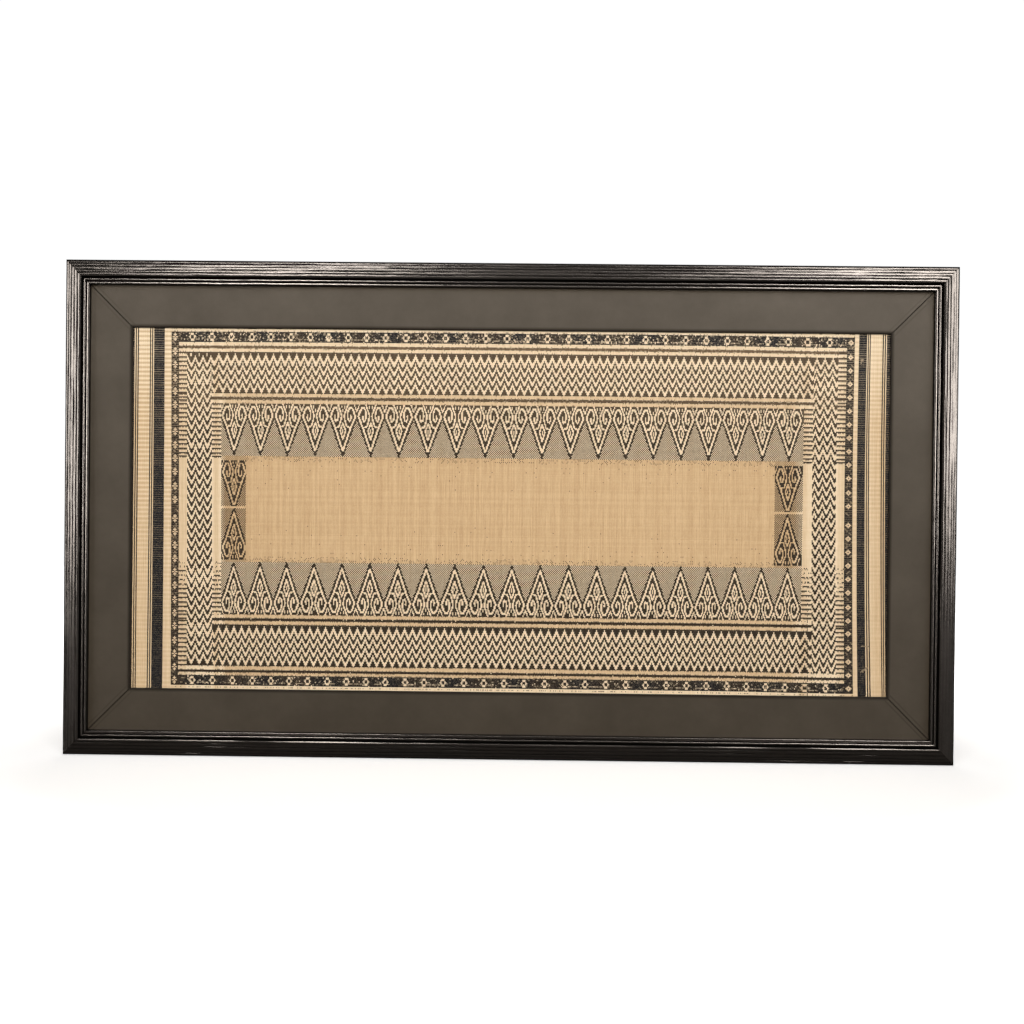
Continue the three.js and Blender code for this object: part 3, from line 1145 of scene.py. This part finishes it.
def weave_chart(seed):
    """The whole mat: edges of its strips and rows and the kind of each cell."""
    rng = np.random.default_rng(seed)
    x_edges, x_kinds, x_blocks, x_local = lay_out(SEGMENTS)
    y_edges, _, y_blocks, y_local = lay_out(BANDS)
    x = (x_edges[1:] + x_edges[:-1]) / 2
    y = (y_edges[1:] + y_edges[:-1]) / 2
    checker = (np.arange(len(x)) + np.arange(len(y))[:, None]) % 2 == 0
    cells = np.zeros(checker.shape, dtype=int)
    for a, (segment, _, _) in enumerate(SEGMENTS):
        for b, (band, _, _) in enumerate(BANDS):
            strips, rows = np.flatnonzero(x_blocks == a), np.flatnonzero(y_blocks == b)
            grid = np.ix_(rows, strips)
            cells[grid] = chart_block(
                segment, band, x[strips], y[rows], x_local[strips], y_local[rows], checker[grid], rng
            )
    add_zigzags(cells, x, y, x_kinds, x_local)
    add_column_diamonds(cells, y, x_kinds, x_local, rng)
    add_band_diamonds(cells, x, y, rng)
    add_marks(cells, x, y, rng)
    return x_edges, y_edges, cells


def strip_runs(cells):
    """Each dyed float as (strip, first row, last row + 1, kind), cut where the weave goes under."""
    runs = []
    for column, line in enumerate(cells.T):
        changes = np.flatnonzero(np.diff(line)) + 1
        for start, end in zip([0, *changes], [*changes, len(line)]):
            kind = line[start]
            piece = STRIP_ROWS[kind]
            while start < end and kind != LIGHT:
                # Black and thin lines are cut at the same rows all over the mat.
                stop = (start // piece + 1) * piece if kind in (BLACK, LINE) else start + piece
                runs.append((column, start, min(end, stop), kind))
                start = min(end, stop)
    return np.array(runs)


def paler_and_top_lit_parts(across, down):
    """How much paler the light strips are at each place, least in the plain field, with painted light that
    makes them paler towards the top.
    """
    # Painted light: the strips grow paler towards the top.
    top = ramp(down, 235.0, 125.0)[:, None]
    down = down[:, None]
    pale = np.full((len(down), len(across)), 0.9) + 0.2 * top
    pale = np.where(~((across >= ZIGZAGS[0]) & (across <= ZIGZAGS[1])), 0.45 + 0.4 * top, pale)
    pale = np.where((across < 128.0) | (across > 1208.0), 0.25 + 0.55 * top, pale)
    inner = between(across, (INNER_LADDERS[0], MIDDLE[0])) | between(across, (MIDDLE[1], INNER_LADDERS[1]))
    pale = np.where(inner, 0.35 + 0.3 * top, pale)
    for kind, paleness in (("light", 0.6 * top + 0.2), ("field", 0.0)):
        rows = np.any([(down >= start) & (down <= end) for start, end in bands_of(kind)], axis=0)
        pale = np.where(rows & between(across, MIDDLE), paleness, pale)
    return pale


def ridge_shading_parts(across_edges, kinds, down):
    """Where the painted shade and highlight of the plain side bands' ridges show: more towards the top and on
    the left.
    """
    plain = np.zeros(len(across_edges))
    plain[:-1] = kinds == "plain"
    plain[1:] = np.maximum(plain[1:], kinds == "plain")
    plain[across_edges > FRAME_WIDTH / 2] *= 0.45
    return plain * np.clip(1.25 - (down - MAT_INSET) / 420.0, 0.25, 1.0)[:, None]


class OBJECT_OT_mat_ground(bpy.types.Operator):
    """Build the mat's straw-coloured ground"""

    bl_idname = "object.mat_ground"
    bl_label = "Mat ground"

    def execute(self, context):
        settings = context.scene.mat_weave
        x_edges, x_kinds, _, x_local = lay_out(SEGMENTS)
        y_edges = lay_out(BANDS)[0]
        # A line of points at every tenth strip and at each segment's edge, and two lines for each row.
        keep = np.arange(len(x_edges)) % 10 == 0
        keep[:-1] |= x_local == 0
        keep[-1] = True
        columns = np.flatnonzero(keep)
        across = x_edges[columns]
        halves = np.arange(2 * len(y_edges) - 1) / 2.0
        down = np.interp(halves, np.arange(len(y_edges)), y_edges)
        crest = np.where(halves % 1 == 0.5, 1.0, -1.0) * settings.row_relief / MM
        moved, sunk = leaned(*np.meshgrid(across, down))
        up = MAT_GROUND + crest[:, None] + rise_of_mat(moved, sunk, settings.waviness / MM)
        number = np.arange(up.size).reshape(up.shape)
        faces = four_sided(number[:-1, :-1], number[1:, :-1], number[1:, 1:], number[:-1, 1:])
        front_corners = 4 * len(faces)
        # The back repeats the points of the rim, and is one face.
        rim = np.concatenate([number[0], number[1:, -1], number[-1, -2::-1], number[-2:0:-1, 0]])
        behind = number.size + np.arange(len(rim))
        faces += four_sided(rim, np.roll(rim, -1), np.roll(behind, -1), behind)
        faces.append(behind.tolist())

        def with_rim(values):
            return np.concatenate([values.ravel(), values.ravel()[rim]])

        front = placed(moved, sunk, up)
        back = front[rim]
        back[:, 1] = -MAT_BACK * MM
        points = np.concatenate([front, back])
        obj = make_mesh("mat_ground", points, faces, materials()["straw reed"])
        mesh = obj.data
        corner = corner_points(mesh)
        strip_at, row_at = np.meshgrid(columns.astype(float), halves)
        weave = np.stack([with_rim(strip_at), with_rim(row_at)], axis=-1)
        set_uv(mesh, "Weave", weave[corner])
        flat = face_on(points, 0.03, 0.96)
        in_front = np.arange(len(corner)) < front_corners
        set_uv(mesh, "OFBake", np.where(in_front[:, None], flat[corner], 0.002 + 0.018 * flat[corner]))
        # Painted shade and highlight of the side bands' ridges, and paler strips with painted light towards
        # the top.
        add_values(mesh, "ridge", with_rim(ridge_shading_parts(x_edges, x_kinds, down)[:, columns]))
        add_values(mesh, "bleached", with_rim(paler_and_top_lit_parts(across, down)))
        finish_piece(obj, "woven_mat")
        return {"FINISHED"}


def strip_tree(material):
    """Geometry Nodes: an arched strip of reed on each point, sized by the points' size attribute."""
    tree = bpy.data.node_groups.new("Strips on points", "GeometryNodeTree")
    tree.interface.new_socket("Geometry", in_out="INPUT", socket_type="NodeSocketGeometry")
    stations = tree.interface.new_socket("Stations", in_out="INPUT", socket_type="NodeSocketInt")
    tree.interface.new_socket("Geometry", in_out="OUTPUT", socket_type="NodeSocketGeometry")
    start = tree.nodes.new("NodeGroupInput")
    grid = first_output(tree, "GeometryNodeMeshGrid", 1.0, 1.0, 3, Value(start.outputs["Stations"]))
    x, y, _ = split(first_output(tree, "GeometryNodeInputPosition"))
    edge = maths("POWER", maths("ABSOLUTE", x * 2.0), 2.0)
    tail = maths("POWER", maths("ABSOLUTE", y * 2.0), 4.0)
    arch = join(x, maths("MAXIMUM", edge * 0.72, tail) - 1.0, y)
    strip = first_output(tree, "GeometryNodeSetPosition", grid, Position=arch)
    size = first_output(tree, "GeometryNodeInputNamedAttribute", data_type="FLOAT_VECTOR", Name="size")
    points = Value(start.outputs["Geometry"])
    made = first_output(tree, "GeometryNodeInstanceOnPoints", points, Instance=strip, Scale=size)
    made = first_output(tree, "GeometryNodeRealizeInstances", made)
    made = first_output(tree, "GeometryNodeSetShadeSmooth", made)
    made = first_output(tree, "GeometryNodeSetMaterial", made, Material=material)
    add_node(tree, "NodeGroupOutput", made)
    return tree, stations.identifier


def lay_strips(name, middles, sizes, tones, blacks, stations, tree, socket):
    """A piece of strips: points with attributes, the node tree on them, turned into a mesh."""
    mesh = bpy.data.meshes.new(name + "_points")
    mesh.from_pydata([tuple(m) for m in middles], [], [])
    add_values(mesh, "size", sizes, "FLOAT_VECTOR", "vector")
    add_values(mesh, "tone", tones)
    add_values(mesh, "black", blacks)
    points = new_object(name + "_points", mesh)
    modifier = points.modifiers.new("Strips", "NODES")
    modifier.node_group = tree
    modifier[socket] = stations
    view = bpy.context.evaluated_depsgraph_get()
    made = bpy.data.meshes.new_from_object(points.evaluated_get(view), depsgraph=view)
    made.name = name
    bpy.data.objects.remove(points)
    bpy.data.meshes.remove(mesh)
    return new_object(name, made)


def join_parts(parts, name):
    """Several pieces as one."""
    with bpy.context.temp_override(
        active_object=parts[0], selected_objects=parts, selected_editable_objects=parts
    ):
        bpy.ops.object.join()
    parts[0].name = name
    parts[0].data.name = name
    return parts[0]


def planar_bake_map(obj):
    """A flat baking map over the piece's face."""
    mesh = obj.data
    points = np.empty(len(mesh.vertices) * 3)
    mesh.vertices.foreach_get("co", points)
    set_uv(mesh, "OFBake", face_on(points.reshape(-1, 3), 0.012, 0.976)[corner_points(mesh)])


def black_ticks(seed, first, across, bottom):
    """The light tick between two floats of a black band, longer in some rows than in others."""
    by_row = np.random.default_rng(seed + 2).random(sum(rows for _, _, rows in BANDS) + 1)
    tick = (0.26 + 0.3 * by_row[first]) * np.clip(1.2 - (bottom - MAT_INSET) / 700.0, 0.45, 1.2)
    return tick * np.where(between(across, LADDERS), 0.5, 1.0)


def blackness(kind, across, down):
    """How black each strip's dye is, from 1 for blue-black to 0 for brown and below 0 for faded."""
    side = (across < 151.0) | (across > 1189.0)
    patchy = 0.62 + 0.33 * np.sin(across / 15.0)
    black = np.where(kind == BLACK, np.where(side, 1.0, patchy), np.where(kind == LINE, 0.5, 0.1))
    # The dye has faded to brown towards the top, and most in the two thin lines there.
    faded = 0.32 * ramp(down, 270.0, 210.0)
    for thin_line, fading in zip(bands_of("dark mottled"), (0.62, 0.42)):
        faded = np.where(between(down, thin_line) & between(across, ZIGZAGS), fading, faded)
    return np.where((kind == FLOAT) | (kind == FAINT), black - faded, black)


class OBJECT_OT_mat_strips(bpy.types.Operator):
    """Lay the dyed strips that make the pattern"""

    bl_idname = "object.mat_strips"
    bl_label = "Dyed strips"

    def execute(self, context):
        settings = context.scene.mat_weave
        rng = np.random.default_rng(settings.seed + 1)
        x_edges, y_edges, cells = weave_chart(settings.seed)
        column, first, last, kind = strip_runs(cells).T
        across = (x_edges[column] + x_edges[column + 1]) / 2
        top, bottom = y_edges[first], y_edges[last]
        down = (top + bottom) / 2
        row_height = (bottom - top) / (last - first)
        length = bottom - top + STRIP_LONGER[kind] * row_height + rng.normal(0, 0.06, len(kind))
        length -= np.where(kind == BLACK, black_ticks(settings.seed, first, across, bottom), 0.0)
        narrow = STRIP_WIDTH[kind] * rng.uniform(0.94, 1.03, len(kind))
        moved, sunk = leaned(across, down)
        width = leaned(x_edges[column + 1], down)[0] - leaned(x_edges[column], down)[0]
        rise = settings.strip_rise / MM * np.where(kind == FAINT, 0.7, 1.0)
        rise = rise * rng.uniform(0.85, 1.1, len(kind))
        base = MAT_GROUND + 0.1 + rise_of_mat(moved, sunk, settings.waviness / MM)
        middles = placed(moved, sunk, base)
        sizes = np.stack([width * narrow, rise, length], axis=-1) * MM
        by_strip = rng.random(len(x_edges))
        tone = 0.55 * rng.random(len(kind)) + 0.45 * by_strip[column]
        tone = tone * np.where(kind == FAINT, 1.0, 0.8) + np.where(kind == DOT, 0.2, 0.0)
        tone = tone * np.clip(1.25 - (down - MAT_INSET) / 700.0, 0.5, 1.1)
        black = blackness(kind, across, down)
        tree, socket = strip_tree(materials()["dyed reed"])
        for name, (left, right), (upper, lower) in PIECES:
            inside = (across >= left) & (across < right) & (down >= upper) & (down < lower)
            parts = []
            # Long strips get one more section than those of a single row.
            for pick, stations in ((inside & (last - first <= 1), 3), (inside & (last - first > 1), 4)):
                if pick.any():
                    values = (middles[pick], sizes[pick], tone[pick], black[pick])
                    parts.append(lay_strips(f"{name}_{stations}", *values, stations, tree, socket))
            obj = join_parts(parts, name)
            planar_bake_map(obj)
            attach(obj, "root")
        return {"FINISHED"}


# The studio.


def aimed(location, yaw, pitch, roll):
    """The camera's matrix: it looks along +Y, turned left by yaw, up by pitch and rolled, in degrees."""
    yaw, pitch, roll = math.radians(yaw), math.radians(pitch), math.radians(roll)
    forward = Vector((-math.sin(yaw) * math.cos(pitch), math.cos(yaw) * math.cos(pitch), math.sin(pitch)))
    level = Vector((math.cos(yaw), math.sin(yaw), 0.0))
    upright = level.cross(forward)
    right = math.cos(roll) * level + math.sin(roll) * upright
    up = math.cos(roll) * upright - math.sin(roll) * level
    matrix = Matrix((right, up, -forward)).transposed().to_4x4()
    matrix.translation = Vector(location)
    return matrix


def soft_light(name, location, target, size, power, seen_as):
    """A large soft light aimed at a point. It is seen only as sheen, or lights without a sheen."""
    lamp = bpy.data.lights.new(name, "AREA")
    lamp.shape = "RECTANGLE"
    lamp.size, lamp.size_y = size
    lamp.energy = power
    lamp.color = WARM
    obj = new_object(name, lamp)
    obj.location = location
    aim = Vector(target) - Vector(location)
    obj.rotation_euler = aim.to_track_quat("-Z", "Y").to_euler()
    obj.visible_camera = False
    obj.visible_diffuse = seen_as != "sheen"
    obj.visible_glossy = seen_as != "fill"


class OBJECT_OT_studio(bpy.types.Operator):
    """Set up the camera, the lights and the floor"""

    bl_idname = "object.mat_studio"
    bl_label = "Studio"

    def execute(self, context):
        scene = context.scene
        settings = scene.mat_studio
        lens = bpy.data.cameras.new("camera")
        lens.sensor_fit = "HORIZONTAL"
        lens.angle = math.radians(36.0)
        lens.clip_start = 0.01
        scene.camera = new_object("camera", lens)
        scene.camera.matrix_world = aimed((0.0386, -2.3811, -0.3348), 0.820, -0.572, 0.604)
        side, key = settings.side_power, settings.key_power
        centre, top = (0.0, 0.0, -0.35), (0.0, 0.0, -0.1)
        soft_light("right side light", (3.2, -1.55, 0.13), centre, (2.0, 1.1), side * 0.8, "sheen")
        soft_light("left side light", (-3.2, -1.55, 0.03), centre, (2.0, 1.15), side * 0.85, "sheen")
        soft_light("right key light", (1.36, -2.3, 2.0), top, (0.9, 2.2), key, "sheen")
        soft_light("left key light", (-0.84, -2.2, 1.95), top, (0.42, 2.2), key * 0.6, "sheen")
        soft_light("fill light", (0.05, -3.3, 0.55), centre, (2.6, 2.0), settings.fill_power, "fill")
        soft_light("back light", (0.0, 3.2, 0.0), centre, (2.4, 1.6), settings.back_power, "fill")
        scene.world = bpy.data.worlds.new("surround")
        scene.world.use_nodes = True
        tree = scene.world.node_tree
        background = tree.nodes["Background"]
        feed(background.inputs["Color"], WHITE)
        # The camera sees a white room, slightly over 1, but little light comes from it.
        rest = settings.surround
        feed(background.inputs["Strength"], seen_by_camera(tree) * (1.02 - rest) + rest)
        floor_z = (ORIGIN_BELOW_TOP - FRAME_HEIGHT) * MM - 0.001
        reach = 6.0
        corners = [(x * reach, y * reach, floor_z) for x, y in ((-1, -1), (1, -1), (1, 1), (-1, 1))]
        floor = make_mesh("floor", corners, [(0, 1, 2, 3)], materials()["white floor"], smooth=False)
        scene.view_settings.view_transform = "Standard"
        scene.view_settings.look = "None"
        return {"FINISHED"}


class VIEW3D_PT_woven_mat(bpy.types.Panel):
    """Buttons and sizes of the framed mat"""

    bl_label = "Framed woven mat"
    bl_idname = "VIEW3D_PT_woven_mat"
    bl_space_type = "VIEW_3D"
    bl_region_type = "UI"
    bl_category = "Woven mat"

    def draw(self, context):
        scene = context.scene
        for settings in (scene.mat_frame, scene.mat_weave, scene.mat_studio):
            box = self.layout.box()
            for name in settings.__annotations__:
                box.prop(settings, name)
        for operator in OPERATORS:
            self.layout.operator(operator.bl_idname)


OPERATORS = (
    OBJECT_OT_frame_rails,
    OBJECT_OT_liner,
    OBJECT_OT_board,
    OBJECT_OT_mat_ground,
    OBJECT_OT_mat_strips,
    OBJECT_OT_studio,
)
CLASSES = (MatSettings, FrameSettings, StudioSettings, *OPERATORS, VIEW3D_PT_woven_mat)


def register():
    for cls in CLASSES:
        bpy.utils.register_class(cls)
    bpy.types.Scene.mat_weave = PointerProperty(type=MatSettings)
    bpy.types.Scene.mat_frame = PointerProperty(type=FrameSettings)
    bpy.types.Scene.mat_studio = PointerProperty(type=StudioSettings)


def unregister():
    del bpy.types.Scene.mat_studio
    del bpy.types.Scene.mat_frame
    del bpy.types.Scene.mat_weave
    for cls in reversed(CLASSES):
        bpy.utils.unregister_class(cls)


def main():
    """Builds everything in order."""
    register()
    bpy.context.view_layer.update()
    bpy.ops.object.mat_frame_rails()
    bpy.ops.object.mat_liner()
    bpy.ops.object.mat_board()
    bpy.ops.object.mat_ground()
    bpy.ops.object.mat_strips()
    bpy.ops.object.mat_studio()


if __name__ == "__main__":
    main()
